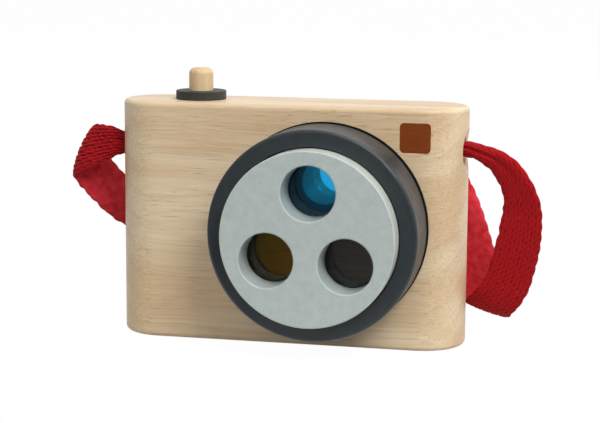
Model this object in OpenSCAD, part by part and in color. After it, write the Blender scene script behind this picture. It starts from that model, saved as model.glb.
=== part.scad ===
// Wooden toy camera: a solid block body with rounded ends, a turning lens with three
// tinted windows, a sprung shutter button on top and a short webbing strap.
// Front faces -Y, right in the front view is +X, up is +Z. The body stands on z = 0.

/* [Body] */

// width of the wooden block from end to end
body_w = 115; // [108:1:124]
// depth of the block from front to back, its ends are rounded to half of it
body_d = 29; // [28:0.5:33]
// height of the block
body_h = 78; // [76:1:84]
// rounding of the block's top and bottom edges
edge_round = 1.6; // [0.8:0.2:3]

/* [Lens] */

// sideways position of the lens axis from the middle of the body
lens_x = 13.5; // [8:0.5:16]
// height of the drum's lowest point above the floor
lens_lift = 6.1; // [4:0.1:7]
// radius of the dark drum
drum_r = 33.4; // [32:0.2:35]
// length of the drum along its axis
drum_len = 18.6; // [15:0.2:22]
// rounding of the drum's front edge
drum_round = 1; // [0.4:0.2:2.4]
// rounding of the drum's rear edge
drum_rear_round = 0.3; // [0.1:0.1:1]
// space between the drum and the body, filled by the felt ring
lens_gap = 2.2; // [1:0.1:3]
// how far the felt ring shows past the drum
felt_proud = 0.3; // [0:0.1:0.8]
// width of the felt ring behind the drum
felt_w = 8.6; // [4:0.2:9]
// radius of the pale front disc
disc_r = 27.6; // [26.6:0.2:29]
// how far the disc stands out of the drum
disc_proud = 6.6; // [3:0.2:9]
// depth of the seat that the disc is glued into
disc_seat = 3.9; // [1.6:0.1:4.4]
// open gap round the disc in its seat
disc_gap = 0.4; // [0.1:0.1:0.8]
// rounding of the disc's front edge
disc_round = 0.4; // [0.2:0.1:1.6]
// wood left between each round window and the disc's edge
window_rim = 4.55; // [4:0.05:6]
// wood left between two windows
window_web = 7.8; // [6.4:0.1:10]
// rounding of the window rims
window_round = 0.5; // [0.2:0.1:1]
// turn of the lens as it stands, anticlockwise from the front
lens_turn = -1.7; // [-30:0.1:30]
// how far each tinted filter reaches past its window
filter_lap = 1.6; // [1.2:0.1:2]
// thickness of each tinted filter
filter_t = 2; // [1:0.2:3]
// width of the ledge in the drum that a filter lies on
filter_ledge = 0.8; // [0.4:0.1:1.4]

/* [Lens fixing] */

// radius of the screw shank that the drum turns on
shank_r = 2; // [1.5:0.1:2.2]
// radius of the screw head
head_r = 3.2; // [2.8:0.1:3.6]
// height of the screw head
head_h = 2.4; // [1.6:0.1:2.8]
// width of the cross slot in the screw head
slot_w = 0.9; // [0.6:0.1:1.2]
// depth of the screw in the body
screw_grip = 17; // [12:1:22]
// radius of the washer under the head
washer_r = 3.8; // [3.6:0.1:3.9]
// thickness of the washer under the head
washer_t = 0.8; // [0.5:0.1:1]

/* [Viewfinder] */

// radius of the sight tunnel through the body
tunnel_r = 7.3; // [6:0.1:8]
// rounding of the tunnel's rear mouth
tunnel_round = 1.2; // [0.4:0.2:2]
// thickness of the clear window in the tunnel
pane_t = 3; // [2:0.5:4]
// depth of the clear window behind the rear mouth
pane_depth = 9; // [6:0.5:12]

/* [Flash mark] */

// width of the brown flash square
flash_w = 9.8; // [7:0.2:11]
// height of the brown flash square
flash_h = 9.5; // [7:0.1:10]
// corner radius of the flash square
flash_corner = 1.35; // [0.5:0.05:2.5]
// thickness of the flash square, set flush in the front
flash_t = 0.8; // [0.4:0.1:2]
// distance of the flash square's middle from the right end
flash_in = 15.15; // [14.5:0.05:18]
// distance of the flash square's middle below the top
flash_down = 9.2; // [7.5:0.1:9.6]

/* [Shutter button] */

// distance of the button from the left end
button_in = 25.9; // [24.5:0.1:32]
// radius of the button stem
stem_r = 4; // [3:0.05:4.6]
// height of the button above the top of the body
stem_rise = 10.3; // [8:0.1:14]
// rounding of the button's top edge
stem_round = 1.9; // [0.4:0.1:2.4]
// radius of the dark collar round the button
collar_r = 8.3; // [8:0.05:10]
// height of the collar
collar_h = 2.9; // [1.6:0.1:3.6]
// rounding of the collar's top edge
collar_round = 0.3; // [0.2:0.1:1.2]
// radius of the button's bore in the body
button_bore_r = 6.5; // [6:0.1:7]
// depth of the button's bore in the body
button_bore_depth = 20; // [18:0.5:23]
// depth of the collar's spigot in the bore
spigot_h = 3; // [2:0.2:4]
// thickness of the flange that keeps the button in
flange_t = 3; // [2:0.2:3.4]
// travel of the button
button_travel = 4; // [2:0.5:4]
// mean radius of the return spring
spring_r = 4; // [3.4:0.1:4.4]
// radius of the spring wire
wire_r = 0.45; // [0.3:0.05:0.5]
// number of turns of the return spring
spring_turns = 5.5; // [4:0.5:6]

/* [Strap] */

// distance of the strap holes below the top
strap_down = 14.3; // [12:0.1:18]
// radius of the strap holes
strap_hole_r = 5; // [4.4:0.1:5.6]
// depth of the strap holes
strap_hole_depth = 14; // [13:0.5:15]
// radius of the ball that dishes the mouth of each strap hole
dish_r = 12; // [10:0.5:16]
// depth of the dished mouth
dish_depth = 2.5; // [1.5:0.1:3]
// width of the webbing
strap_w = 14.4; // [10:0.2:15]
// thickness of the webbing
strap_t = 1.6; // [1:0.1:2]
// radius of the dowel pins that hold the strap ends
pin_r = 2; // [1.5:0.1:2.4]
// distance of the dowel pins from the ends of the body
pin_in = 9; // [8:0.5:10]
// reach of the dowel pins in front of the body's middle
pin_reach = 8; // [6:0.5:9.5]

/* [Hidden] */

$fn = 96;
// cutters run this far past a face
past = 1;
// running clearance round the screw shank and the button stem
shaft_gap = 0.05;
// end play of the lens between felt and washer, and glue gap round the filters
lens_play = 0.1;
// clearance between the button's flange and its bore and collar
flange_gap = 0.3;
// free space in front of the screw head and round its washer
head_room = 0.6;
// easing of edges that stay out of sight
eased = 0.2;

end_r = body_d / 2;
front_y = -body_d / 2;
back_y = body_d / 2;
end_x = body_w / 2 - end_r;

// three windows a third of a turn apart: distance between two of them for each mm that they
// lie from the lens axis, then the radius and the distance from the axis that leave the rim
// and the webs as set
window_spread = 2 * sin(60);
window_r = (disc_r - window_rim - window_web / window_spread) / (1 + 2 / window_spread);
window_pitch = disc_r - window_rim - window_r;

// lens stack, measured outwards from the front of the body
lens_z = lens_lift + drum_r;
drum_front = lens_gap + drum_len;
seat_z = drum_front - disc_seat;
disc_t = disc_seat + disc_proud;
filter_z = seat_z - filter_t;
filter_r = window_r + filter_lap;
drum_hole_r = filter_r - filter_ledge;
washer_z = seat_z + lens_play;
head_z = washer_z + washer_t;
head_pocket_depth = lens_play + washer_t + head_h + head_room;
tunnel_z = lens_z + window_pitch;
drum_bore_r = shank_r + shaft_gap;
felt_r = drum_r + felt_proud;

// button stack, measured upwards from the floor
bore_floor_z = body_h - button_bore_depth;
flange_top_z = body_h - spigot_h - flange_gap;
flange_low_z = flange_top_z - flange_t;
flange_r = button_bore_r - flange_gap;
button_x = button_in - body_w / 2;
spring_h = flange_low_z - bore_floor_z - 2 * wire_r;
spring_pitch = spring_h / spring_turns;
// rings of the spring wire in one turn
turn_rings = 8;
// sides of the spring wire
wire_sides = 6;
echo(spring_coil_gap = spring_pitch - 2 * wire_r);
echo(spring_coil_gap_pressed = (spring_h - button_travel) / spring_turns - 2 * wire_r);

flash_x = body_w / 2 - flash_in;
flash_z = body_h - flash_down;
strap_z = body_h - strap_down;
pin_x = body_w / 2 - pin_in;
pane_y = back_y - pane_depth;

// Strap route from the left hole round behind the body to the right hole. Each row holds
// the share of half the body width and the rest of x, the share of half the body depth and
// the rest of y, the share of the strap holes' height, the share of the webbing's width, the
// thickness in webbing layers and the direction across the webbing.
strap_route = [
    [-1, 12, 0, 0, 1, 0.42, 3.2, [0, 0, 1]],
    [-1, -0.5, 0, -0.5, 0.985, 0.46, 2.8, [0, 0, 1]],
    [-1, -3, 0, -1.5, 0.99, 0.61, 2.1, [0.05, 0, 1]],
    [-1, -6.5, 0, -2, 0.98, 0.78, 1.5, [0.05, 0.1, 1]],
    [-1, -10.5, 0, -1.5, 0.965, 0.9, 1.2, [0.17, 0.15, 0.97]],
    [-1, -14, 0, -0.5, 0.945, 0.97, 1, [0.29, 0.17, 0.94]],
    [-1, -16, 0, 1.5, 0.915, 1, 1, [0.36, 0.16, 0.92]],
    [-1, -15.5, 0, 4.5, 0.865, 1, 1, [0.36, 0.28, 0.89]],
    [-1, -13.5, 0, 7, 0.805, 1, 1, [0.38, 0.48, 0.79]],
    [-1, -11, 0, 9.5, 0.74, 1, 1, [0.36, 0.56, 0.74]],
    [-1, -7.5, 0, 13, 0.665, 1, 1, [0.36, 0.56, 0.74]],
    [-1, -2.5, 1, 3.5, 0.59, 1, 1, [0.38, 0.45, 0.8]],
    [-1, 6, 1, 5, 0.51, 1, 1, [0.38, 0.35, 0.85]],
    [-1, 17, 1, 5.5, 0.435, 1, 1, [0.3, 0.3, 0.9]],
    [0, -27, 1, 6, 0.375, 1, 1, [0.2, 0.3, 0.9]],
    [0, -11, 1, 6.5, 0.36, 1, 1, [0, 0.4, 0.9]],
    [0, 4, 1, 7, 0.405, 1, 1, [-0.3, 0.5, 0.8]],
    [0, 17, 1, 7.5, 0.53, 1, 1, [-0.5, 0.6, 0.6]],
    [0, 27, 1, 8, 0.7, 1, 1, [-0.5, 0.8, 0.3]],
    [1, -23.5, 1, 8.5, 0.83, 1, 1, [-0.2, 0.9, 0.2]],
    [1, -17, 1, 8.5, 0.875, 1, 1, [0, 1, 0.1]],
    [1, -11.5, 1, 7, 0.83, 1, 1, [0.4, 0.8, 0.4]],
    [1, -7.5, 1, 5, 0.725, 1, 1, [0.8, 0.4, 0.5]],
    [1, -3.5, 1, 2.5, 0.59, 1, 1, [0.9, 0.1, 0.4]],
    [1, 0.5, 0, 14.5, 0.42, 1, 1, [0.95, 0, 0.25]],
    [1, 4, 0, 13, 0.26, 1, 1, [0.97, 0, 0]],
    [1, 5.7, 0, 9.7, 0.167, 1, 1, [0.95, -0.1, -0.25]],
    [1, 7.7, 0, 5.8, 0.197, 1, 1, [0.96, -0.14, -0.25]],
    [1, 10.5, 0, 3, 0.255, 1, 1, [0.98, -0.13, -0.13]],
    [1, 13.5, 0, 1, 0.345, 1, 1, [0.99, -0.13, 0]],
    [1, 16.7, 0, -2, 0.525, 0.96, 1, [0.99, -0.14, 0.08]],
    [1, 18, 0, -4, 0.69, 0.88, 1, [0.98, -0.19, 0.1]],
    [1, 17.5, 0, -5, 0.775, 0.79, 1.2, [0.9, -0.25, 0.35]],
    [1, 16, 0, -5.5, 0.843, 0.71, 1.5, [0.75, -0.3, 0.6]],
    [1, 13.3, 0, -5.5, 0.91, 0.64, 1.8, [0.6, -0.28, 0.75]],
    [1, 9.5, 0, -5, 0.963, 0.5, 2.3, [0.4, -0.25, 0.9]],
    [1, 6.5, 0, -4, 0.985, 0.41, 2.7, [0.25, -0.2, 0.95]],
    [1, 3.5, 0, -2.5, 0.999, 0.35, 3, [0.1, -0.1, 1]],
    [1, 0, 0, -1, 1.01, 0.31, 3.2, [0, 0, 1]],
    [1, -12, 0, 0, 1, 0.31, 3.3, [0, 0, 1]]
];
// rings of the strap between two route rows
strap_rings = 2;
// sides of the strap's section
strap_sides = 12;
// share of a route row over which the strap's direction is taken
strap_look = 0.1;

// rounded rectangle about its middle, with true corner arcs
module rounded_rect(w, h, r) {
    square([w - 2 * r, h], center = true);
    square([w, h - 2 * r], center = true);
    for (sx = [-1, 1])
        for (sy = [-1, 1])
            translate([sx * (w / 2 - r), sy * (h / 2 - r)])
                circle(r);
}

// turned piece standing on z = 0 with rounded lower and upper edges
module turned(r, h, low, high) {
    rotate_extrude()
        union() {
            translate([0, low])
                square([r, h - low - high]);
            square([r - low, h / 2]);
            translate([0, h / 2])
                square([r - high, h / 2]);
            intersection() {
                union() {
                    translate([r - low, low])
                        circle(low);
                    translate([r - high, h - high])
                        circle(high);
                }
                square([r, h]);
            }
        }
}

// flat ring standing on z = 0
module ring(outer, inner, h) {
    difference() {
        cylinder(r = outer, h = h);
        translate([0, 0, -past])
            cylinder(r = inner, h = h + 2 * past);
    }
}

// cutter that rounds the rim of a hole whose mouth is at z = 0 and opens upwards
module rim_cutter(r, round) {
    rotate_extrude()
        difference() {
            translate([0, -round])
                square([r + round, round + past]);
            translate([r + round, -round])
                circle(round);
            translate([r + round, -round])
                square([round, 2 * round]);
        }
}

// places a lens piece: local z runs outwards from the front of the body along the lens axis
module on_lens_axis() {
    translate([lens_x, front_y, lens_z])
        rotate([90, 0, 0])
            children();
}

// places a piece at window i of the lens
module at_window(i) {
    rotate(90 + lens_turn + 120 * i)
        translate([window_pitch, 0, 0])
            children();
}

// places a piece along Y at the sight tunnel, with local z towards the back
module on_tunnel(y) {
    translate([lens_x, y, tunnel_z])
        rotate([-90, 0, 0])
            children();
}

// solid stock of the body: a straight middle and two turned ends
module body_stock() {
    rotate([90, 0, 90])
        linear_extrude(height = 2 * end_x, center = true)
            translate([0, body_h / 2])
                rounded_rect(body_d, body_h, edge_round);
    for (side = [-1, 1])
        translate([side * end_x, 0, 0])
            turned(end_r, body_h, edge_round, edge_round);
}

module flash_outline(h) {
    translate([flash_x, front_y + flash_t, flash_z])
        rotate([90, 0, 0])
            linear_extrude(height = h)
                rounded_rect(flash_w, flash_h, flash_corner);
}

module strap_hole(side) {
    translate([side * body_w / 2, 0, strap_z])
        rotate([0, side * 90, 0]) {
            translate([0, 0, -strap_hole_depth])
                cylinder(r = strap_hole_r, h = strap_hole_depth + past);
            translate([0, 0, dish_r - dish_depth])
                sphere(dish_r);
        }
}

module pin_at(side) {
    translate([side * pin_x, -pin_reach, strap_z])
        rotate([-90, 0, 0])
            cylinder(r = pin_r, h = pin_reach + back_y + past);
}

module body_block() {
    color([0.84, 0.71, 0.53])
        difference() {
            body_stock();
            flash_outline(flash_t + past);
            on_lens_axis()
                translate([0, 0, -screw_grip])
                    cylinder(r = shank_r, h = screw_grip + past);
            on_tunnel(front_y - past)
                cylinder(r = tunnel_r, h = body_d + 2 * past);
            on_tunnel(back_y)
                rim_cutter(tunnel_r, tunnel_round);
            translate([button_x, 0, bore_floor_z])
                cylinder(r = button_bore_r, h = button_bore_depth + past);
            for (side = [-1, 1]) {
                strap_hole(side);
                pin_at(side);
            }
        }
}

module flash_panel() {
    color([0.42, 0.2, 0.07])
        flash_outline(flash_t);
}

module viewfinder_pane() {
    color([0.9, 0.95, 0.97, 0.4])
        on_tunnel(pane_y - pane_t)
            cylinder(r = tunnel_r, h = pane_t);
}

module lens_drum() {
    color([0.23, 0.25, 0.27])
        on_lens_axis()
            difference() {
                translate([0, 0, lens_gap])
                    turned(drum_r, drum_len, drum_rear_round, drum_round);
                translate([0, 0, seat_z])
                    cylinder(r = disc_r + disc_gap, h = disc_seat + past);
                cylinder(r = drum_bore_r, h = drum_front);
                for (i = [0:2])
                    at_window(i) {
                        cylinder(r = drum_hole_r, h = drum_front);
                        translate([0, 0, filter_z])
                            cylinder(r = filter_r + lens_play, h = filter_t + past);
                    }
            }
}

module lens_disc() {
    color([0.67, 0.71, 0.7])
        on_lens_axis()
            translate([0, 0, seat_z])
                difference() {
                    turned(disc_r, disc_t, eased, disc_round);
                    translate([0, 0, -past])
                        cylinder(r = washer_r + head_room, h = head_pocket_depth + past);
                    for (i = [0:2])
                        at_window(i) {
                            translate([0, 0, -past])
                                cylinder(r = window_r, h = disc_t + 2 * past);
                            translate([0, 0, disc_t])
                                rim_cutter(window_r, window_round);
                        }
                }
}

// tinted disc behind window i
module filter_at(i) {
    on_lens_axis()
        at_window(i)
            translate([0, 0, filter_z])
                cylinder(r = filter_r, h = filter_t);
}

module filter_blue() {
    color([0.05, 0.45, 0.8, 0.6])
        filter_at(0);
}

module filter_yellow() {
    color([0.75, 0.55, 0.05, 0.6])
        filter_at(1);
}

module filter_grey() {
    color([0.35, 0.33, 0.32, 0.6])
        filter_at(2);
}

// round-headed screw with a pointed end
module lens_screw() {
    color([0.75, 0.75, 0.77])
        on_lens_axis() {
            difference() {
                translate([0, 0, head_z])
                    turned(head_r, head_h, eased, head_h / 2);
                for (a = [0, 90])
                    rotate(a)
                        translate([0, 0, head_z + head_h])
                            cube([head_r, slot_w, head_h], center = true);
            }
            translate([0, 0, -screw_grip + 2 * shank_r])
                cylinder(r = shank_r, h = screw_grip - 2 * shank_r + head_z + head_h / 3);
            translate([0, 0, -screw_grip])
                cylinder(r1 = eased, r2 = shank_r, h = 2 * shank_r);
        }
}

module lens_washer() {
    color([0.7, 0.7, 0.72])
        on_lens_axis()
            translate([0, 0, washer_z])
                ring(washer_r, shank_r, washer_t);
}

// dark ring glued to the body, which the drum slides on
module lens_felt() {
    color([0.05, 0.05, 0.05])
        on_lens_axis()
            ring(felt_r, felt_r - felt_w, lens_gap - lens_play);
}

module shutter_button() {
    color([0.85, 0.73, 0.56])
        translate([button_x, 0, flange_low_z]) {
            turned(flange_r, flange_t, eased, eased);
            turned(stem_r, body_h + stem_rise - flange_low_z, eased, stem_round);
        }
}

module button_collar() {
    color([0.23, 0.25, 0.26])
        translate([button_x, 0, 0])
            difference() {
                union() {
                    translate([0, 0, body_h])
                        turned(collar_r, collar_h, eased, collar_round);
                    translate([0, 0, body_h - spigot_h])
                        cylinder(r = button_bore_r, h = spigot_h + collar_h / 2);
                }
                translate([0, 0, body_h - spigot_h - past])
                    cylinder(r = stem_r + shaft_gap, h = spigot_h + collar_h + 2 * past);
            }
}

// tube swept through rings of points, closed at both ends
module swept(rings) {
    sides = len(rings[0]);
    last = len(rings) - 1;
    points = [for (r = rings) for (p = r) p];
    walls = [
        for (i = [0:last - 1])
            for (k = [0:sides - 1])
                let (a = i * sides + k, b = i * sides + (k + 1) % sides)
                    each [[a, a + sides, b], [b, a + sides, b + sides]]
    ];
    ends = [
        [for (k = [0:sides - 1]) k],
        [for (k = [sides - 1:-1:0]) last * sides + k]
    ];
    polyhedron(points, concat(walls, ends));
}

// one ring of the spring wire, seen i rings up from its lower end
function wire_ring(i) =
    let (turn = 360 * i / turn_rings, rise = spring_pitch * i / turn_rings)
    [for (k = [0:wire_sides - 1])
        let (
            a = 360 * k / wire_sides,
            reach = spring_r + wire_r * cos(a)
        )
        [reach * cos(turn), reach * sin(turn), rise + wire_r * sin(a)]];

module button_spring() {
    color([0.72, 0.72, 0.74])
        translate([button_x, 0, bore_floor_z + wire_r])
            swept([for (i = [0:turn_rings * spring_turns]) wire_ring(i)]);
}

// place, width, thickness and cross direction of a strap route row
function strap_place(row) = [
    row[0] * body_w / 2 + row[1],
    row[2] * body_d / 2 + row[3],
    row[4] * strap_z
];
function strap_knot(row) = concat(
    strap_place(row), [row[5] * strap_w, row[6] * strap_t], row[7]);

// smooth curve through four knots at share t between the middle two
function between(a, b, c, d, t) =
    b + (c - a) * t / 2 + (2 * a - 5 * b + 4 * c - d) * t * t / 2
    + (3 * b - a - 3 * c + d) * t * t * t / 2;
function knot_at(s) =
    let (
        n = len(strap_route) - 1,
        i = min(floor(s), n - 1),
        row = [for (k = [-1:2]) strap_knot(strap_route[max(0, min(n, i + k))])]
    )
    between(row[0], row[1], row[2], row[3], s - i);
function place_of(k) = [k[0], k[1], k[2]];
function unit(v) = v / norm(v);

// one ring of the strap: a flat section with soft edges, drawn along its cross direction
// and long enough there to keep the webbing's width where that direction is slanted
function soft(v) = sign(v) * sqrt(abs(v));
function strap_ring(s) =
    let (
        n = len(strap_route) - 1,
        k = knot_at(s),
        ahead = place_of(knot_at(min(n, s + strap_look))),
        behind = place_of(knot_at(max(0, s - strap_look))),
        across = unit([k[5], k[6], k[7]]),
        face = cross(unit(ahead - behind), across),
        slant = norm(face)
    )
    [for (j = [0:strap_sides - 1])
        let (a = 360 * j / strap_sides)
            place_of(k) + across * soft(cos(a)) * k[3] / (2 * slant)
            + face * soft(sin(a)) * k[4] / (2 * slant)];

module strap() {
    steps = strap_rings * (len(strap_route) - 1);
    color([0.66, 0.07, 0.11])
        swept([for (i = [0:steps]) strap_ring(i / strap_rings)]);
}

module strap_pins() {
    color([0.8, 0.66, 0.47])
        for (side = [-1, 1])
            intersection() {
                pin_at(side);
                body_stock();
            }
}

body_block();
flash_panel();
viewfinder_pane();
lens_drum();
lens_disc();
filter_blue();
filter_yellow();
filter_grey();
lens_screw();
lens_washer();
lens_felt();
shutter_button();
button_collar();
button_spring();
strap();
strap_pins();
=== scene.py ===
import math

import bmesh
import bpy
import numpy as np
from bpy.props import FloatProperty, FloatVectorProperty, IntProperty, PointerProperty
from bpy.types import Operator, Panel, PropertyGroup
from mathutils import Matrix, Vector


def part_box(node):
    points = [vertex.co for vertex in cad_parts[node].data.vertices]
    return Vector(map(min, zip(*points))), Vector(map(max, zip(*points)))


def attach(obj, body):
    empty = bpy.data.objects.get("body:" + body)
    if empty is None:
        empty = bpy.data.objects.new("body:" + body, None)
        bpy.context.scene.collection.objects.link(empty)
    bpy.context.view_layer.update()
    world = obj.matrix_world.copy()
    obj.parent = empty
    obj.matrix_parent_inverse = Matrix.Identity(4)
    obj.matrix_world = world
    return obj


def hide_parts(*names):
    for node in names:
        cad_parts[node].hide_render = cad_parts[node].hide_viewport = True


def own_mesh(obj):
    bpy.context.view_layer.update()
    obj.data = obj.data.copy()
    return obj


bl_info = {
    "name": "Wooden Toy Camera",
    "version": (1, 0, 0),
    "blender": (4, 5, 0),
    "location": "3D View > Sidebar > Toy Camera",
    "description": "Dresses a wooden toy camera in wood, paint, tinted acrylic and webbing",
    "category": "Object",
}

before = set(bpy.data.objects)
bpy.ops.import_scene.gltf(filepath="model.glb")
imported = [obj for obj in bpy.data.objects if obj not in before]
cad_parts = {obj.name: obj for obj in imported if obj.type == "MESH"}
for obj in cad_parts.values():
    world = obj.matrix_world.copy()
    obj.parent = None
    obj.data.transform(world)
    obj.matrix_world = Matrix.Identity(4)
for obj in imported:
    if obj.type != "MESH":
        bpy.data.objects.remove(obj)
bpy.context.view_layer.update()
MM = 0.001

# Strap route from the left hole round behind the body to the right hole, in millimetres:
# share of half the body width and the rest of x, share of half the body depth and the rest
# of y, share of the strap holes' height, share of the webbing's width, layers of webbing,
# and the direction across the webbing.
STRAP_ROUTE = (
    (-1, 12, 0, 0, 1, 0.42, 3.2, (0, 0, 1)),
    (-1, -0.5, 0, -0.5, 0.985, 0.46, 2.8, (0, 0, 1)),
    (-1, -3, 0, -1.5, 0.99, 0.61, 2.1, (0.05, 0, 1)),
    (-1, -6.5, 0, -2, 0.98, 0.78, 1.5, (0.05, 0.1, 1)),
    (-1, -10.5, 0, -1.5, 0.965, 0.9, 1.2, (0.17, 0.15, 0.97)),
    (-1, -14, 0, -0.5, 0.945, 0.97, 1, (0.29, 0.17, 0.94)),
    (-1, -16, 0, 1.5, 0.915, 1, 1, (0.36, 0.16, 0.92)),
    (-1, -15.5, 0, 4.5, 0.865, 1, 1, (0.36, 0.28, 0.89)),
    (-1, -13.5, 0, 7, 0.805, 1, 1, (0.38, 0.48, 0.79)),
    (-1, -11, 0, 9.5, 0.74, 1, 1, (0.36, 0.56, 0.74)),
    (-1, -7.5, 0, 13, 0.665, 1, 1, (0.36, 0.56, 0.74)),
    (-1, -2.5, 1, 3.5, 0.59, 1, 1, (0.38, 0.45, 0.8)),
    (-1, 6, 1, 5, 0.51, 1, 1, (0.38, 0.35, 0.85)),
    (-1, 17, 1, 5.5, 0.435, 1, 1, (0.3, 0.3, 0.9)),
    (0, -27, 1, 6, 0.375, 1, 1, (0.2, 0.3, 0.9)),
    (0, -11, 1, 6.5, 0.36, 1, 1, (0, 0.4, 0.9)),
    (0, 4, 1, 7, 0.405, 1, 1, (-0.3, 0.5, 0.8)),
    (0, 17, 1, 7.5, 0.53, 1, 1, (-0.5, 0.6, 0.6)),
    (0, 27, 1, 8, 0.7, 1, 1, (-0.5, 0.8, 0.3)),
    (1, -23.5, 1, 8.5, 0.83, 1, 1, (-0.2, 0.9, 0.2)),
    (1, -17, 1, 8.5, 0.875, 1, 1, (0, 1, 0.1)),
    (1, -11.5, 1, 7, 0.83, 1, 1, (0.4, 0.8, 0.4)),
    (1, -7.5, 1, 5, 0.725, 1, 1, (0.8, 0.4, 0.5)),
    (1, -3.5, 1, 2.5, 0.59, 1, 1, (0.9, 0.1, 0.4)),
    (1, 0.5, 0, 14.5, 0.42, 1, 1, (0.95, 0, 0.25)),
    (1, 4, 0, 13, 0.26, 1, 1, (0.97, 0, 0)),
    (1, 5.7, 0, 9.7, 0.167, 1, 1, (0.95, -0.1, -0.25)),
    (1, 7.7, 0, 5.8, 0.197, 1, 1, (0.96, -0.14, -0.25)),
    (1, 10.5, 0, 3, 0.255, 1, 1, (0.98, -0.13, -0.13)),
    (1, 13.5, 0, 1, 0.345, 1, 1, (0.99, -0.13, 0)),
    (1, 16.7, 0, -2, 0.525, 0.96, 1, (0.99, -0.14, 0.08)),
    (1, 18, 0, -4, 0.69, 0.88, 1, (0.98, -0.19, 0.1)),
    (1, 17.5, 0, -5, 0.775, 0.79, 1.2, (0.9, -0.25, 0.35)),
    (1, 16, 0, -5.5, 0.843, 0.71, 1.5, (0.75, -0.3, 0.6)),
    (1, 13.3, 0, -5.5, 0.91, 0.64, 1.8, (0.6, -0.28, 0.75)),
    (1, 9.5, 0, -5, 0.963, 0.5, 2.3, (0.4, -0.25, 0.9)),
    (1, 6.5, 0, -4, 0.985, 0.41, 2.7, (0.25, -0.2, 0.95)),
    (1, 3.5, 0, -2.5, 0.999, 0.35, 3, (0.1, -0.1, 1)),
    (1, 0, 0, -1, 1.01, 0.31, 3.2, (0, 0, 1)),
    (1, -12, 0, 0, 1, 0.31, 3.3, (0, 0, 1)),
)
# Route rows where the strap folds, and the share of the full bulge there.
STRAP_FOLDS = ((6.4, 1), (26.4, 0.4))


def linear(hex_colour):
    """Linear red, green and blue of an sRGB hex colour."""
    parts = [int(hex_colour[i:i + 2], 16) / 255 for i in (1, 3, 5)]
    return tuple(c / 12.92 if c <= 0.04045 else ((c + 0.055) / 1.055) ** 2.4 for c in parts)


def colour_property(name, description, hex_colour):
    return FloatVectorProperty(name=name, description=description, subtype="COLOR",
                               size=3, min=0, max=1, default=linear(hex_colour))


class WoodSettings(PropertyGroup):
    """Colours and grain of the bare wood."""

    pale: colour_property("Pale wood", "Colour of the early wood between the lines", "#eedbbb")
    dowel: colour_property("Dowel", "Colour of the yellower wood of the dowels", "#e8cfa6")
    line: colour_property("Grain line", "Colour of the darker late wood", "#c8975a")
    pore: colour_property("Pore", "Colour of the short dark pores", "#8c5c2c")
    stain: colour_property("Flash stain", "Colour of the stained flash square", "#823c0e")
    fibre: FloatProperty(name="Fibre width", description="Width of one fibre streak",
                         default=0.9 * MM, unit="LENGTH")
    ring: FloatProperty(name="Ring spacing", description="Distance between growth lines",
                        default=6 * MM, unit="LENGTH")


class PaintSettings(PropertyGroup):
    """Colours of the painted wood."""

    drum: colour_property("Drum", "Slate grey paint of the lens drum", "#2c3338")
    disc: colour_property("Disc", "Pale blue-grey paint of the lens disc", "#bcc7c4")
    collar: colour_property("Collar", "Dark grey paint of the button's collar", "#31312e")
    # lighter rim of the disc: partly primer that shows through, partly a painted highlight on the
    # rounded edge
    edge: colour_property("Thin edge", "Primer that shows through thin paint on an edge", "#dcd8c8")
    # painted shade: near-black colour in the gap round the disc and in the holes behind it
    painted_shade: colour_property("Glue", "Black glue in the seat of the disc", "#060606")
    seat_gap: FloatProperty(name="Seat gap", description="Open gap round the disc in its seat",
                            default=0.4 * MM, unit="LENGTH")
    grit: FloatProperty(name="Paint grain", description="Size of the paint's fine texture",
                        default=0.5 * MM, unit="LENGTH")


class AcrylicSettings(PropertyGroup):
    """Tints of the windows."""

    blue: colour_property("Blue", "Tint of the top filter", "#1cade6")
    yellow: colour_property("Yellow", "Tint of the lower left filter", "#cba91c")
    grey: colour_property("Grey", "Tint of the lower right filter", "#a8a5a3")
    clear: colour_property("Clear", "Tint of the viewfinder pane", "#eef3f3")


class WebbingSettings(PropertyGroup):
    """Sizes and colours of the strap."""

    width: FloatProperty(name="Width", description="Width of the webbing",
                         default=14.4 * MM, unit="LENGTH")
    thickness: FloatProperty(name="Thickness", description="Thickness of the webbing",
                             default=1.6 * MM, unit="LENGTH")
    columns: IntProperty(name="Columns", description="Columns of gaps across the ribbed side",
                         default=11, min=3, max=21)
    stitch: FloatProperty(name="Stitch", description="Distance between two gaps in a column",
                          default=2.2 * MM, unit="LENGTH")
    relief: FloatProperty(name="Relief", description="Depth of the gaps between the yarns",
                          default=0.25 * MM, unit="LENGTH")
    scallop: FloatProperty(name="Scallop", description="Distance between two waves of the edge",
                           default=3.9 * MM, unit="LENGTH")
    bulge: FloatProperty(name="Bulge", description="How far the webbing rounds out at a fold",
                         default=1.3 * MM, unit="LENGTH")
    step: FloatProperty(name="Step", description="Distance between two rings of the mesh",
                        default=0.35 * MM, unit="LENGTH")
    yarn: colour_property("Yarn", "Red of the yarn on the ribbed side", "#ae0e15")
    # painted shade: the dark red that the hollows of the weave get
    gap: colour_property("Gap", "Deep red between the yarns", "#5e0609")
    lint: colour_property("Lint", "Softer red of the flat side", "#df3e4b")


class StageSettings(PropertyGroup):
    """Camera, lamps and floor."""

    azimuth: FloatProperty(name="Azimuth", description="Camera's turn to the right of the front",
                           default=math.radians(12.7936), subtype="ANGLE")
    elevation: FloatProperty(name="Elevation", description="Camera's height as an angle",
                             default=math.radians(9.1351), subtype="ANGLE")
    roll: FloatProperty(name="Roll", description="Camera's tilt",
                        default=math.radians(0.3541), subtype="ANGLE")
    distance: FloatProperty(name="Distance", description="Camera's distance from its target",
                            default=572.5 * MM, unit="LENGTH")
    target: FloatVectorProperty(name="Target", description="Point in the middle of the view",
                                default=(2.115 * MM, 0, 41.59 * MM), subtype="TRANSLATION")
    lens: FloatProperty(name="Lens", description="Focal length for a 36 mm wide sensor",
                        default=104.11, unit="CAMERA")
    floor: colour_property("Floor", "Colour of the pale floor", "#b4b2ae")
    ambient: FloatProperty(name="Ambient", description="Light from all round", default=0.25)


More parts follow.
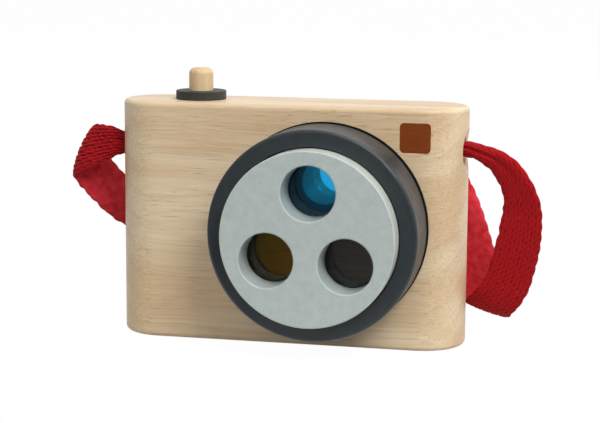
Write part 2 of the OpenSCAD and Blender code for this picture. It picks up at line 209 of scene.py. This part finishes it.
class ToyCameraSettings(PropertyGroup):
    """All settings of the toy camera."""

    wood: PointerProperty(type=WoodSettings)
    paint: PointerProperty(type=PaintSettings)
    acrylic: PointerProperty(type=AcrylicSettings)
    webbing: PointerProperty(type=WebbingSettings)
    stage: PointerProperty(type=StageSettings)


def plug(tree, node, inputs):
    """Links or sets the named inputs of a node."""
    for name, value in inputs.items():
        if isinstance(value, bpy.types.NodeSocket):
            tree.links.new(value, node.inputs[name])
        else:
            node.inputs[name].default_value = value


def add(tree, kind, inputs=None, out=0, **settings):
    """Adds a node with its settings and inputs, and gives one of its outputs."""
    node = tree.nodes.new(kind)
    for name, value in settings.items():
        setattr(node, name, value)
    plug(tree, node, inputs or {})
    return node.outputs[out]


def new_material(name):
    material = bpy.data.materials.new(name)
    material.use_nodes = True
    return material, material.node_tree, material.node_tree.nodes["Principled BSDF"]


def rgba(colour, level=1):
    return (*(min(1, c * level) for c in colour), 1)


def per_metre(*sizes):
    """Repeats per metre along each axis of a pattern whose sizes are in metres."""
    return [1 / size for size in sizes]


# Oiled rubberwood, planed and sanded: soft straight grain with a few long dark lines and short
# pores in bands, and a satin sheen that whitens at a low angle. On an end face the same fibres
# show as fine specks. Lines and pores are drawn 0.35 mm wide, or they would be too fine to show.
def rubberwood(name, settings, pale, turn=(0, 0, 0)):
    material, tree, shader = new_material(name)
    place = add(tree, "ShaderNodeMapping", {
        "Vector": add(tree, "ShaderNodeTexCoord", out="Object"), "Rotation": turn})
    # slow waves that bend the grain by up to 8 mm
    drift = add(tree, "ShaderNodeTexNoise", {
        "Vector": add(tree, "ShaderNodeMapping", {
            "Vector": place, "Scale": per_metre(90 * MM, 24 * MM, 24 * MM)}),
        "Scale": 1, "Detail": 1}, out="Color")
    wavy = add(tree, "ShaderNodeVectorMath", {
        0: place, 1: add(tree, "ShaderNodeVectorMath", {0: drift, 1: (0, 8 * MM, 8 * MM)},
                         operation="MULTIPLY")}, operation="ADD")
    # growth lines about a trunk axis that lies behind and below the block
    ring = add(tree, "ShaderNodeTexWave", {
        "Vector": add(tree, "ShaderNodeMapping", {
            "Vector": wavy, "Location": (0, -70 * MM, 45 * MM)}),
        "Scale": 0.314 / settings.ring, "Distortion": 0.6, "Detail": 2, "Detail Scale": 0.4},
        out="Fac", wave_type="RINGS", rings_direction="X", wave_profile="SAW")
    ring = add(tree, "ShaderNodeMath", {0: ring, 1: 3}, operation="POWER")
    patch = add(tree, "ShaderNodeTexNoise", {
        "Vector": add(tree, "ShaderNodeMapping", {
            "Vector": place, "Location": (3, 5, 7),
            "Scale": per_metre(70 * MM, 13 * MM, 13 * MM)}),
        "Scale": 1, "Detail": 1})
    patch = add(tree, "ShaderNodeMapRange", {"Value": patch, "From Min": 0.38, "From Max": 0.62})
    # fine streaks, long dark lines and short pores: along the grain, across it, and thresholds
    marks = []
    for shift, long, wide, low, high in ((0, 60 * MM, settings.fibre, 0.3, 0.72),
                                         (2, 70 * MM, 0.35 * MM, 0.6, 0.74),
                                         (4, 14 * MM, 0.35 * MM, 0.58, 0.76)):
        mark = add(tree, "ShaderNodeTexNoise", {
            "Vector": add(tree, "ShaderNodeMapping", {
                "Vector": wavy, "Location": (shift, shift, shift),
                "Scale": per_metre(long, wide, wide)}),
            "Scale": 1, "Detail": 2})
        marks.append(add(tree, "ShaderNodeMapRange", {
            "Value": mark, "From Min": low, "From Max": high}))
    streak, line, pore = marks
    pore = add(tree, "ShaderNodeMath", {0: pore, 1: patch}, operation="MULTIPLY")
    tone = rgba(pale)
    for mask, share, colour in ((streak, 0.3, settings.line), (ring, 0.17, settings.line),
                                (patch, 0.3, settings.line), (line, 0.5, settings.pore),
                                (pore, 0.36, settings.pore)):
        tone = add(tree, "ShaderNodeMixRGB", {
            0: add(tree, "ShaderNodeMath", {0: mask, 1: share}, operation="MULTIPLY"),
            1: tone, 2: rgba(colour)})
    plug(tree, shader, {
        "Base Color": tone, "IOR": 1.5,
        "Roughness": add(tree, "ShaderNodeMapRange", {
            "Value": streak, "To Min": 0.36, "To Max": 0.48}),
        "Normal": add(tree, "ShaderNodeBump", {
            "Strength": 0.12, "Distance": 0.15 * MM,
            "Height": add(tree, "ShaderNodeMath", {0: streak, 1: pore}, operation="SUBTRACT")})})
    return material


# Brown stain in the same wood: darker, matt, with the grain still showing through.
def stained_rubberwood(name, settings):
    material, tree, shader = new_material(name)
    place = add(tree, "ShaderNodeTexCoord", out="Object")
    streak = add(tree, "ShaderNodeTexNoise", {
        "Vector": add(tree, "ShaderNodeMapping", {
            "Vector": place, "Scale": per_metre(5 * MM, 0.5 * MM, 0.5 * MM)}),
        "Scale": 1, "Detail": 3})
    plug(tree, shader, {
        "Base Color": add(tree, "ShaderNodeMixRGB", {
            0: add(tree, "ShaderNodeMapRange", {
                "Value": streak, "From Min": 0.3, "From Max": 0.7}),
            1: rgba(settings.stain, 0.85), 2: rgba(settings.stain, 1.15)}),
        "Roughness": 0.6, "Specular IOR Level": 0.2,
        "Normal": add(tree, "ShaderNodeBump", {
            "Strength": 0.2, "Distance": 0.1 * MM, "Height": streak})})
    return material


# Sprayed satin paint on turned wood: nearly even colour with a soft fine mottle. Past a given
# distance from the lens axis it turns into another colour: on the disc's rim a lighter colour,
# partly primer that shows on a sanded edge and partly a painted highlight; in the seat of the disc
# and the holes behind it a matt near-black painted shade.
def painted_wood(name, colour, settings, roughness, beyond=None):
    material, tree, shader = new_material(name)
    place = add(tree, "ShaderNodeTexCoord", out="Object")
    grit = add(tree, "ShaderNodeTexNoise", {
        "Vector": place, "Scale": 1 / settings.grit, "Detail": 3})
    mottle = add(tree, "ShaderNodeTexNoise", {
        "Vector": place, "Scale": 1 / (6 * settings.grit), "Detail": 2})
    shade = add(tree, "ShaderNodeMapRange", {
        "Value": add(tree, "ShaderNodeMath", {0: grit, 1: mottle}, operation="ADD"),
        "From Min": 0.7, "From Max": 1.3})
    tone = add(tree, "ShaderNodeMixRGB", {0: shade, 1: rgba(colour, 0.92), 2: rgba(colour, 1.07)})
    if beyond:
        middle, start, end, other, most = beyond
        aside = add(tree, "ShaderNodeVectorMath", {0: place, 1: middle}, operation="SUBTRACT")
        aside = add(tree, "ShaderNodeVectorMath", {0: aside, 1: (1, 0, 1)}, operation="MULTIPLY")
        reach = add(tree, "ShaderNodeVectorMath", {0: aside}, out="Value", operation="LENGTH")
        share = add(tree, "ShaderNodeMapRange", {
            "Value": reach, "From Min": start, "From Max": end, "To Max": most})
        # the other colour is painted shade in the drum's seat and holes, and partly a painted
        # highlight on the disc's rim
        tone = add(tree, "ShaderNodeMixRGB", {0: share, 1: tone, 2: rgba(other)})
        plug(tree, shader, {"Specular IOR Level": add(tree, "ShaderNodeMapRange", {
            "Value": share, "To Min": 0.5, "To Max": 0.02})})
    plug(tree, shader, {
        "Base Color": tone, "IOR": 1.48,
        "Roughness": add(tree, "ShaderNodeMapRange", {
            "Value": mottle, "From Min": 0.3, "From Max": 0.7,
            "To Min": roughness - 0.04, "To Max": roughness + 0.04}),
        "Normal": add(tree, "ShaderNodeBump", {
            "Strength": 0.02, "Distance": 0.1 * MM, "Height": grit})})
    return material


# Cast acrylic sheet, dyed through: clear and glossy, with a little haze from handling. Lamps
# shine through it, so a shadow ray passes with the tint.
def acrylic(name, tint):
    material, tree, shader = new_material(name)
    haze = add(tree, "ShaderNodeTexNoise", {
        "Vector": add(tree, "ShaderNodeTexCoord", out="Object"),
        "Scale": 1 / (3 * MM), "Detail": 2})
    plug(tree, shader, {
        "Base Color": add(tree, "ShaderNodeMixRGB", {
            0: add(tree, "ShaderNodeMapRange", {
                "Value": haze, "From Min": 0.3, "From Max": 0.8, "To Max": 0.15}),
            1: rgba(tint), 2: rgba(tint, 0.8)}),
        "Roughness": add(tree, "ShaderNodeMapRange", {
            "Value": haze, "From Min": 0.4, "From Max": 0.8, "To Min": 0.01, "To Max": 0.05}),
        "IOR": 1.49, "Transmission Weight": 1})
    clear = add(tree, "ShaderNodeBsdfTransparent", {"Color": rgba([math.sqrt(c) for c in tint])})
    plug(tree, tree.nodes["Material Output"], {"Surface": add(tree, "ShaderNodeMixShader", {
        0: add(tree, "ShaderNodeLightPath", out="Is Shadow Ray"),
        1: shader.outputs["BSDF"], 2: clear})})
    return material


# Zinc-plated steel: bright, slightly grainy metal.
def zinc_plated_steel(name):
    material, tree, shader = new_material(name)
    grain = add(tree, "ShaderNodeTexNoise", {
        "Vector": add(tree, "ShaderNodeTexCoord", out="Object"),
        "Scale": 1 / (0.4 * MM), "Detail": 3})
    plug(tree, shader, {
        "Base Color": add(tree, "ShaderNodeMixRGB", {
            0: grain, 1: rgba(linear("#a9abad")), 2: rgba(linear("#c9cacc"))}),
        "Roughness": add(tree, "ShaderNodeMapRange", {
            "Value": grain, "From Min": 0.3, "From Max": 0.7, "To Min": 0.28, "To Max": 0.42}),
        "Metallic": 1})
    return material


# Black pressed felt: very dark, matt and slightly fuzzy.
def pressed_felt(name):
    material, tree, shader = new_material(name)
    fuzz = add(tree, "ShaderNodeTexNoise", {
        "Vector": add(tree, "ShaderNodeTexCoord", out="Object"),
        "Scale": 1 / (0.3 * MM), "Detail": 3})
    plug(tree, shader, {
        "Base Color": add(tree, "ShaderNodeMixRGB", {
            0: fuzz, 1: rgba(linear("#08080a")), 2: rgba(linear("#18181a"))}),
        "Roughness": 0.95, "Specular IOR Level": 0.1,
        "Normal": add(tree, "ShaderNodeBump", {
            "Strength": 0.3, "Distance": 0.1 * MM, "Height": fuzz})})
    return material


# Woven cotton webbing: matt yarn with short gaps on the ribbed side, darkened to deep red as
# painted shade, and a flatter, linty back whose fine hollows get a little painted shade; loose
# fibres catch light at a low angle. The mesh carries the weave and which side it is.
def cotton_webbing(name, settings):
    material, tree, shader = new_material(name)
    weave = add(tree, "ShaderNodeAttribute", out="Fac", attribute_name="weave")
    side = add(tree, "ShaderNodeAttribute", out="Fac", attribute_name="flat_side")
    thread = add(tree, "ShaderNodeAttribute", out="Vector", attribute_name="thread")
    strand = add(tree, "ShaderNodeTexNoise", {
        "Vector": add(tree, "ShaderNodeMapping", {
            "Vector": thread, "Scale": per_metre(1.2 * MM, 0.3 * MM, 0.3 * MM)}),
        "Scale": 1, "Detail": 3})
    lint = add(tree, "ShaderNodeTexNoise", {
        "Vector": thread, "Scale": 1 / (2.5 * MM), "Detail": 4})
    # painted shade: the ribbed side turns to the gap colour where the weave sinks
    ribbed = add(tree, "ShaderNodeMixRGB", {
        0: add(tree, "ShaderNodeMapRange", {"Value": weave, "From Min": 0.05, "From Max": 0.8}),
        1: rgba(settings.gap), 2: rgba(settings.yarn)})
    ribbed = add(tree, "ShaderNodeMixRGB", {
        0: add(tree, "ShaderNodeMapRange", {
            "Value": strand, "From Min": 0.45, "From Max": 0.8, "To Max": 0.35}),
        1: ribbed, 2: rgba(settings.lint)})
    flat = add(tree, "ShaderNodeMixRGB", {
        0: add(tree, "ShaderNodeMapRange", {
            "Value": lint, "From Min": 0.3, "From Max": 0.7, "To Min": 0.3}),
        1: rgba(settings.yarn), 2: rgba(settings.lint)})
    # painted shade: up to 0.3 of the gap colour in the fine hollows of the flat side
    flat = add(tree, "ShaderNodeMixRGB", {
        0: add(tree, "ShaderNodeMapRange", {
            "Value": weave, "From Min": 0.1, "From Max": 0.8, "To Min": 0.3, "To Max": 0}),
        1: flat, 2: rgba(settings.gap)})
    plug(tree, shader, {
        "Base Color": add(tree, "ShaderNodeMixRGB", {0: side, 1: ribbed, 2: flat}),
        "Roughness": 0.9, "Specular IOR Level": 0.15,
        "Sheen Weight": 0.45, "Sheen Roughness": 0.4, "Sheen Tint": rgba(linear("#ff9a9a")),
        "Normal": add(tree, "ShaderNodeBump", {
            "Strength": 0.4, "Distance": 0.15 * MM, "Height": strand})})
    return material


def dress(material, *nodes):
    """Gives CAD nodes a material."""
    for name in nodes:
        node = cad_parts[name]
        node.data.materials.clear()
        node.data.materials.append(material)


def new_piece(name, mesh, material, body, slot, *replaced):
    piece = bpy.data.objects.new(name, mesh)
    bpy.context.scene.collection.objects.link(piece)
    mesh.materials.append(material)
    mesh.polygons.foreach_set("use_smooth", [True] * len(mesh.polygons))
    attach(piece, body)
    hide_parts(*replaced)
    return piece


def outward(mesh):
    """Turns every face of a closed mesh outwards."""
    work = bmesh.new()
    work.from_mesh(mesh)
    bmesh.ops.recalc_face_normals(work, faces=work.faces)
    work.to_mesh(mesh)
    work.free()


def units(rows):
    return rows / np.linalg.norm(rows, axis=1, keepdims=True)


def running_mean(column, count):
    """Mean of an odd count of rows round each row."""
    padded = np.pad(column[:, 0], count // 2, mode="edge")
    return np.convolve(padded, np.full(count, 1 / count), "valid")[:, None]


def strap_knots(webbing):
    """Place, width, thickness and cross direction of each route row, in metres."""
    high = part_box("body_block")[1]
    low_pin, high_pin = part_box("strap_pins")
    hole_z = (low_pin.z + high_pin.z) / 2
    return np.array([
        (f * high.x + dx * MM, g * high.y + dy * MM, h * hole_z,
         share * webbing.width, layers * webbing.thickness, *across)
        for f, dx, g, dy, h, share, layers, across in STRAP_ROUTE])


def smooth_curve(knots, s):
    """Catmull-Rom curve through the knots at row numbers s."""
    last = len(knots) - 1
    i = np.minimum(s.astype(int), last - 1)
    a, b, c, d = (knots[np.clip(i + k, 0, last)] for k in (-1, 0, 1, 2))
    t = (s - i)[:, None]
    return (b + (c - a) * t / 2 + (2 * a - 5 * b + 4 * c - d) * t ** 2 / 2
            + (3 * b - a - 3 * c + d) * t ** 3 / 2)


def weave_height(run, v, columns, stitch, long):
    """Height from 0 in a gap to 1 on the yarn; the gaps lean and are staggered by column."""
    column = v * columns / 2
    index = np.round(column)
    turn = run / stitch + 0.5 * (index % 2)
    ahead = turn - np.round(turn)
    aside = column - index - 0.4 * ahead
    # no two gaps are quite alike
    depth = 0.8 + 0.2 * np.sin(9 * index + 5 * np.round(turn) + 2 * np.sin(3 * np.round(turn)))
    return 1 - depth * np.exp(-(aside / 0.24) ** 2 - (ahead / long) ** 2)


def webbing_mesh(webbing):
    """Mesh of the strap, the line that it follows and its length."""
    knots = strap_knots(webbing)
    s = np.linspace(0, len(knots) - 1, 40 * len(knots))
    dense = smooth_curve(knots, s)
    reach = np.concatenate(
        [[0], np.cumsum(np.linalg.norm(np.diff(dense[:, :3], axis=0), axis=1))])
    run = np.linspace(0, reach[-1], int(reach[-1] / webbing.step))
    row = np.stack([np.interp(run, reach, dense[:, c]) for c in range(8)], axis=1)
    centre = row[:, :3]
    across = units(row[:, 5:])
    face = np.cross(units(np.gradient(centre, axis=0)), across)
    slant = np.linalg.norm(face, axis=1, keepdims=True)
    face = face / slant
    half = running_mean(row[:, 3:4] / (2 * slant), 15)
    deep = row[:, 4:5] / 2
    # 0 where the webbing lies flat, 1 where it is gathered into a round bundle
    gathered = np.clip((row[:, 4:5] / webbing.thickness - 1) / 2, 0, 1)
    run = run[:, None]
    fold_rows, fold_shares = zip(*STRAP_FOLDS)
    beyond = [run - place for place in np.interp(fold_rows, s, reach)]
    # 1 up to the first fold, where the tight webbing shows its ribs as ropes
    rope = 1 / (1 + np.exp(beyond[0] / (1.5 * MM)))
    # the ribbed side rounds out at the two folds, and the edge is straight at their tips
    fold = sum(share * np.exp(-(past / (6 * MM)) ** 2)
               for past, share in zip(beyond, fold_shares))
    tip = sum(np.exp(-(past / (2.5 * MM)) ** 2) for past in beyond)
    v = np.linspace(-1, 1, 8 * webbing.columns + 1)[None, :]
    wide = (1 - gathered) * v + gathered * np.sin(v * math.pi / 2)
    belly = np.sqrt(1 - np.abs(wide) ** (8 - 5.6 * gathered))
    edge = 1 - np.abs(v) ** 8
    short_wave, long_wave = (
        np.abs(np.sin(math.pi * run / (webbing.scallop * times))) for times in (1, 1.7))
    frill = np.where(v < 0, 0.25 * short_wave + 0.35 * long_wave, 0.3 * short_wave) * MM
    side_way = half * wide + np.sign(v) * np.abs(v) ** 10 * frill * (1 - tip)
    ribs = weave_height(run, v, webbing.columns, webbing.stitch, 0.38 + 0.2 * gathered + rope)
    fine = weave_height(run, v, 1.5 * webbing.columns, webbing.stitch / 1.5, 0.3)
    crease = 0.35 * gathered * np.exp(-((v - 0.15) / 0.14) ** 2)
    out = webbing.bulge * fold * (1 - v ** 2)
    sunk = webbing.relief * (1 + 0.3 * gathered + 1.5 * rope) * edge
    front = deep * (belly - crease) + out - (1 - ribs) * sunk
    back = deep * belly - out - (1 - fine) * 0.1 * MM * edge
    ribbed, flat = (
        centre[:, None, :] + side_way[..., None] * across[:, None, :]
        + sign * lift[..., None] * face[:, None, :] for lift, sign in ((front, -1), (back, 1)))
    rings, count = ribbed.shape[:2]
    loop = np.concatenate([ribbed, flat[:, -2:0:-1]], axis=1)
    sides = loop.shape[1]
    index = np.arange(rings * sides).reshape(rings, sides)
    ahead = np.roll(index, -1, axis=1)
    walls = np.stack([index[:-1], ahead[:-1], ahead[1:], index[1:]], axis=-1).reshape(-1, 4)
    caps = []
    for ring in (0, rings - 1):
        top = index[ring, :count]
        under = np.concatenate([[top[0]], index[ring, :count - 1:-1], [top[-1]]])
        for j in range(count - 1):
            corners = [top[j], top[j + 1], under[j + 1], under[j]]
            caps.append(list(dict.fromkeys(int(c) for c in corners)))
    mesh = bpy.data.meshes.new("webbing_strap")
    mesh.from_pydata(loop.reshape(-1, 3).tolist(), [], walls.tolist() + caps)
    outward(mesh)
    around = np.broadcast_to(np.concatenate([v, v[:, -2:0:-1]], axis=1), (rings, sides))
    heights = np.concatenate([ribs, fine[:, -2:0:-1]], axis=1)
    is_flat = np.zeros((rings, sides))
    is_flat[:, count:] = 1
    thread = np.stack([np.broadcast_to(run, (rings, sides)),
                       around * webbing.width / 2, 5 * MM * is_flat], axis=-1)
    for name, kind, field, values in (
            ("weave", "FLOAT", "value", heights), ("flat_side", "FLOAT", "value", is_flat),
            ("thread", "FLOAT_VECTOR", "vector", thread)):
        attribute = mesh.attributes.new(name, kind, "POINT")
        attribute.data.foreach_set(field, values.astype(np.float32).ravel())
    return mesh, centre, reach[-1]


def spring_mesh(name, low, high, coil, wire, turns):
    """Round wire wound in one helix between two heights, standing on the middle of its box."""
    middle, sides, steps = (low + high) / 2, 12, int(32 * turns)
    turn = np.linspace(0, 2 * math.pi * turns, steps + 1)[:, None]
    round_wire = np.linspace(0, 2 * math.pi, sides, endpoint=False)[None, :]
    reach = coil + wire * np.cos(round_wire)
    rise = np.linspace(low.z + wire, high.z - wire, steps + 1)[:, None]
    points = np.stack([
        middle.x + reach * np.cos(turn), middle.y + reach * np.sin(turn),
        rise + wire * np.sin(round_wire) * np.ones_like(turn)], axis=-1)
    index = np.arange((steps + 1) * sides).reshape(steps + 1, sides)
    ahead = np.roll(index, -1, axis=1)
    walls = np.stack([index[:-1], ahead[:-1], ahead[1:], index[1:]], axis=-1).reshape(-1, 4)
    mesh = bpy.data.meshes.new(name)
    mesh.from_pydata(points.reshape(-1, 3).tolist(), [],
                     walls.tolist() + [index[0].tolist(), index[-1].tolist()])
    outward(mesh)
    return mesh


def aimed(location, target):
    """Matrix of a lamp at location whose light falls on target."""
    back = (Vector(location) - Vector(target)).normalized()
    turn = back.to_track_quat("Z", "Y").to_matrix().to_4x4()
    return Matrix.Translation(location) @ turn


class TOYCAM_OT_stage(Operator):
    """Makes the camera, the lamps, the floor and the white surroundings"""

    bl_idname = "toycam.stage"
    bl_label = "Stage"

    def execute(self, context):
        stage = context.scene.toy_camera.stage
        self.make_camera(context, stage)
        for name, place, size, power in (
                ("key_softbox", (0.55, -0.62, 0.85), 0.5, 8.6),
                ("top_softbox", (0.1, -0.1, 1.05), 0.8, 2.5),
                ("right_softbox", (1.0, 0.15, 0.45), 0.5, 1.4),
                ("front_fill", (-0.2, -1.1, 0.5), 0.7, 2.25),
                ("back_softbox", (0.5, 1.1, 0.55), 0.8, 2.5)):
            lamp = bpy.data.lights.new(name, "AREA")
            lamp.shape = "SQUARE"
            lamp.size = size
            lamp.energy = power
            holder = bpy.data.objects.new(name, lamp)
            context.scene.collection.objects.link(holder)
            holder.matrix_world = aimed(place, (0, 0, 0.04))
        self.make_floor(context, stage)
        self.make_world(context, stage)
        context.scene.view_settings.view_transform = "Standard"
        return {"FINISHED"}

    def make_camera(self, context, stage):
        a, e, r = stage.azimuth, stage.elevation, stage.roll
        back = Vector((math.sin(a) * math.cos(e), -math.cos(a) * math.cos(e), math.sin(e)))
        level = Vector((math.cos(a), math.sin(a), 0))
        upright = back.cross(level)
        right = level * math.cos(r) + upright * math.sin(r)
        up = upright * math.cos(r) - level * math.sin(r)
        camera = bpy.data.cameras.new("photo_camera")
        camera.sensor_fit = "HORIZONTAL"
        camera.sensor_width = 36
        camera.lens = stage.lens
        camera.clip_start = 0.01
        holder = bpy.data.objects.new("photo_camera", camera)
        context.scene.collection.objects.link(holder)
        turn = Matrix((right, up, back)).transposed().to_4x4()
        place = Vector(stage.target) + back * stage.distance
        holder.matrix_world = Matrix.Translation(place) @ turn
        context.scene.camera = holder

    def seen_share(self, tree, *rays):
        """1 for a ray of one of the named kinds that no matt surface has scattered."""
        seen = 0
        for ray in rays:
            seen = add(tree, "ShaderNodeMath", {
                0: seen, 1: add(tree, "ShaderNodeLightPath", out=ray)}, operation="MAXIMUM")
        scattered = add(tree, "ShaderNodeLightPath", out="Diffuse Depth")
        return add(tree, "ShaderNodeMath", {0: seen, 1: scattered}, operation="SUBTRACT",
                   use_clamp=True)

    def make_floor(self, context, stage):
        mesh = bpy.data.meshes.new("floor")
        reach, front = 3, 0.1
        corners = [(-reach, -front, 0), (reach, -front, 0), (reach, reach, 0), (-reach, reach, 0)]
        mesh.from_pydata(corners, [], [(0, 1, 2, 3)])
        floor = bpy.data.objects.new("floor", mesh)
        context.scene.collection.objects.link(floor)
        # pale matt paper, lifted to white where it is seen, with a part of the shadow kept
        material, tree, shader = new_material("matt_paper")
        plug(tree, shader, {"Base Color": rgba(stage.floor), "Roughness": 0.9})
        share = add(tree, "ShaderNodeMath", {
            0: self.seen_share(tree, "Is Camera Ray", "Is Glossy Ray", "Is Transmission Ray"),
            1: 0.9}, operation="MULTIPLY")
        plug(tree, tree.nodes["Material Output"], {"Surface": add(tree, "ShaderNodeMixShader", {
            0: share, 1: shader.outputs["BSDF"],
            2: add(tree, "ShaderNodeEmission", {"Color": (1, 1, 1, 1), "Strength": 1.08})})})
        mesh.materials.append(material)

    def make_world(self, context, stage):
        """White to the camera; gloss sees a white sweep behind and a dim room in front."""
        world = bpy.data.worlds.new("white_studio")
        world.use_nodes = True
        tree = world.node_tree
        depth = add(tree, "ShaderNodeSeparateXYZ", {
            "Vector": add(tree, "ShaderNodeTexCoord", out="Generated")}, out="Y")
        room = add(tree, "ShaderNodeMapRange", {
            "Value": depth, "From Min": -0.5, "From Max": 0.2, "To Min": 0.1, "To Max": 1})
        plug(tree, tree.nodes["Background"], {
            "Color": (1, 1, 1, 1), "Strength": stage.ambient})
        gloss = add(tree, "ShaderNodeMixShader", {
            0: add(tree, "ShaderNodeLightPath", out="Is Glossy Ray"),
            1: tree.nodes["Background"].outputs[0],
            2: add(tree, "ShaderNodeBackground", {"Color": (1, 1, 1, 1), "Strength": room})})
        plug(tree, tree.nodes["World Output"], {"Surface": add(tree, "ShaderNodeMixShader", {
            0: self.seen_share(tree, "Is Camera Ray", "Is Transmission Ray"), 1: gloss,
            2: add(tree, "ShaderNodeBackground", {"Color": (1, 1, 1, 1), "Strength": 1})})})
        context.scene.world = world


class TOYCAM_OT_strap(Operator):
    """Weaves the strap along its route"""

    bl_idname = "toycam.strap"
    bl_label = "Webbing strap"

    def execute(self, context):
        webbing = context.scene.toy_camera.webbing
        mesh, line, length = webbing_mesh(webbing)
        strap = new_piece("webbing_strap", mesh, cotton_webbing("cotton_webbing", webbing),
                          "camera", "webbing", "strap")
        return {"FINISHED"}


class TOYCAM_OT_body(Operator):
    """Gives the body, the dowels and the flash square their wood"""

    bl_idname = "toycam.body"
    bl_label = "Body wood"

    def execute(self, context):
        wood = context.scene.toy_camera.wood
        dress(rubberwood("oiled_rubberwood", wood, wood.pale), "body_block")
        dress(stained_rubberwood("stained_rubberwood", wood), "flash_panel")
        dress(rubberwood("rubberwood_pin", wood, wood.dowel, (0, 0, math.pi / 2)), "strap_pins")
        return {"FINISHED"}


class TOYCAM_OT_lens(Operator):
    """Paints the lens and tints its filters"""

    bl_idname = "toycam.lens"
    bl_label = "Lens"

    def execute(self, context):
        paint = context.scene.toy_camera.paint
        tints = context.scene.toy_camera.acrylic
        low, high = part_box("lens_disc")
        radius = (high.x - low.x) / 2
        seat = radius + paint.seat_gap
        for name, slot, colour, roughness, start, end, other, most in (
                # drum: near-black painted shade inside the seat, in the gap round the disc and the
                # holes behind it
                ("lens_drum", "slate_painted_wood", paint.drum, 0.42,
                 seat + 0.05 * MM, seat - 0.02 * MM, paint.painted_shade, 1),
                # disc: lighter rim, partly primer and partly a painted highlight on the rounded
                # edge
                ("lens_disc", "pale_painted_wood", paint.disc, 0.45,
                 radius - 0.4 * MM, radius - 0.1 * MM, paint.edge, 0.35)):
            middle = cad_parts[name].matrix_world.inverted() @ ((low + high) / 2)
            dress(painted_wood(slot, colour, paint, roughness,
                               (middle, start, end, other, most)), name)
        dress(acrylic("blue_acrylic", tints.blue), "filter_blue")
        dress(acrylic("yellow_acrylic", tints.yellow), "filter_yellow")
        dress(acrylic("grey_acrylic", tints.grey), "filter_grey")
        dress(acrylic("clear_acrylic", tints.clear), "viewfinder_pane")
        return {"FINISHED"}


class TOYCAM_OT_button(Operator):
    """Finishes the shutter button, its collar and its spring"""

    bl_idname = "toycam.button"
    bl_label = "Shutter button"

    def execute(self, context):
        settings = context.scene.toy_camera
        wood = settings.wood
        dress(rubberwood("rubberwood_dowel", wood, wood.dowel, (0, math.pi / 2, 0)),
              "shutter_button")
        dress(painted_wood("dark_painted_wood", settings.paint.collar, settings.paint, 0.6),
              "button_collar")
        low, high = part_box("button_spring")
        wire = 0.45 * MM
        coil = (high.x - low.x) / 2 - wire
        mesh = spring_mesh("return_spring", low, high, coil, wire, 5.5)
        spring = new_piece("return_spring", mesh, zinc_plated_steel("spring_steel"),
                           "camera", "steel", "button_spring")
        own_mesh(spring)
        return {"FINISHED"}


class TOYCAM_OT_hardware(Operator):
    """Finishes the screw, the washer and the felt ring that hold the lens"""

    bl_idname = "toycam.hardware"
    bl_label = "Lens hardware"

    def execute(self, context):
        dress(zinc_plated_steel("zinc_plated_steel"), "lens_screw", "lens_washer")
        dress(pressed_felt("black_pressed_felt"), "lens_felt")
        return {"FINISHED"}


OPERATORS = (TOYCAM_OT_stage, TOYCAM_OT_strap, TOYCAM_OT_body, TOYCAM_OT_lens, TOYCAM_OT_button,
             TOYCAM_OT_hardware)


class TOYCAM_PT_sidebar(Panel):
    """Lists the steps that dress the toy camera"""

    bl_label = "Toy Camera"
    bl_idname = "TOYCAM_PT_sidebar"
    bl_space_type = "VIEW_3D"
    bl_region_type = "UI"
    bl_category = "Toy Camera"

    def draw(self, context):
        for step in OPERATORS:
            self.layout.operator(step.bl_idname)


CLASSES = (WoodSettings, PaintSettings, AcrylicSettings, WebbingSettings, StageSettings,
           ToyCameraSettings, *OPERATORS, TOYCAM_PT_sidebar)


def register():
    for item in CLASSES:
        bpy.utils.register_class(item)
    bpy.types.Scene.toy_camera = PointerProperty(type=ToyCameraSettings)


def unregister():
    del bpy.types.Scene.toy_camera
    for item in reversed(CLASSES):
        bpy.utils.unregister_class(item)


def main():
    register()
    for step in OPERATORS:
        group, name = step.bl_idname.split(".")
        getattr(getattr(bpy.ops, group), name)()


if __name__ == "__main__":
    main()
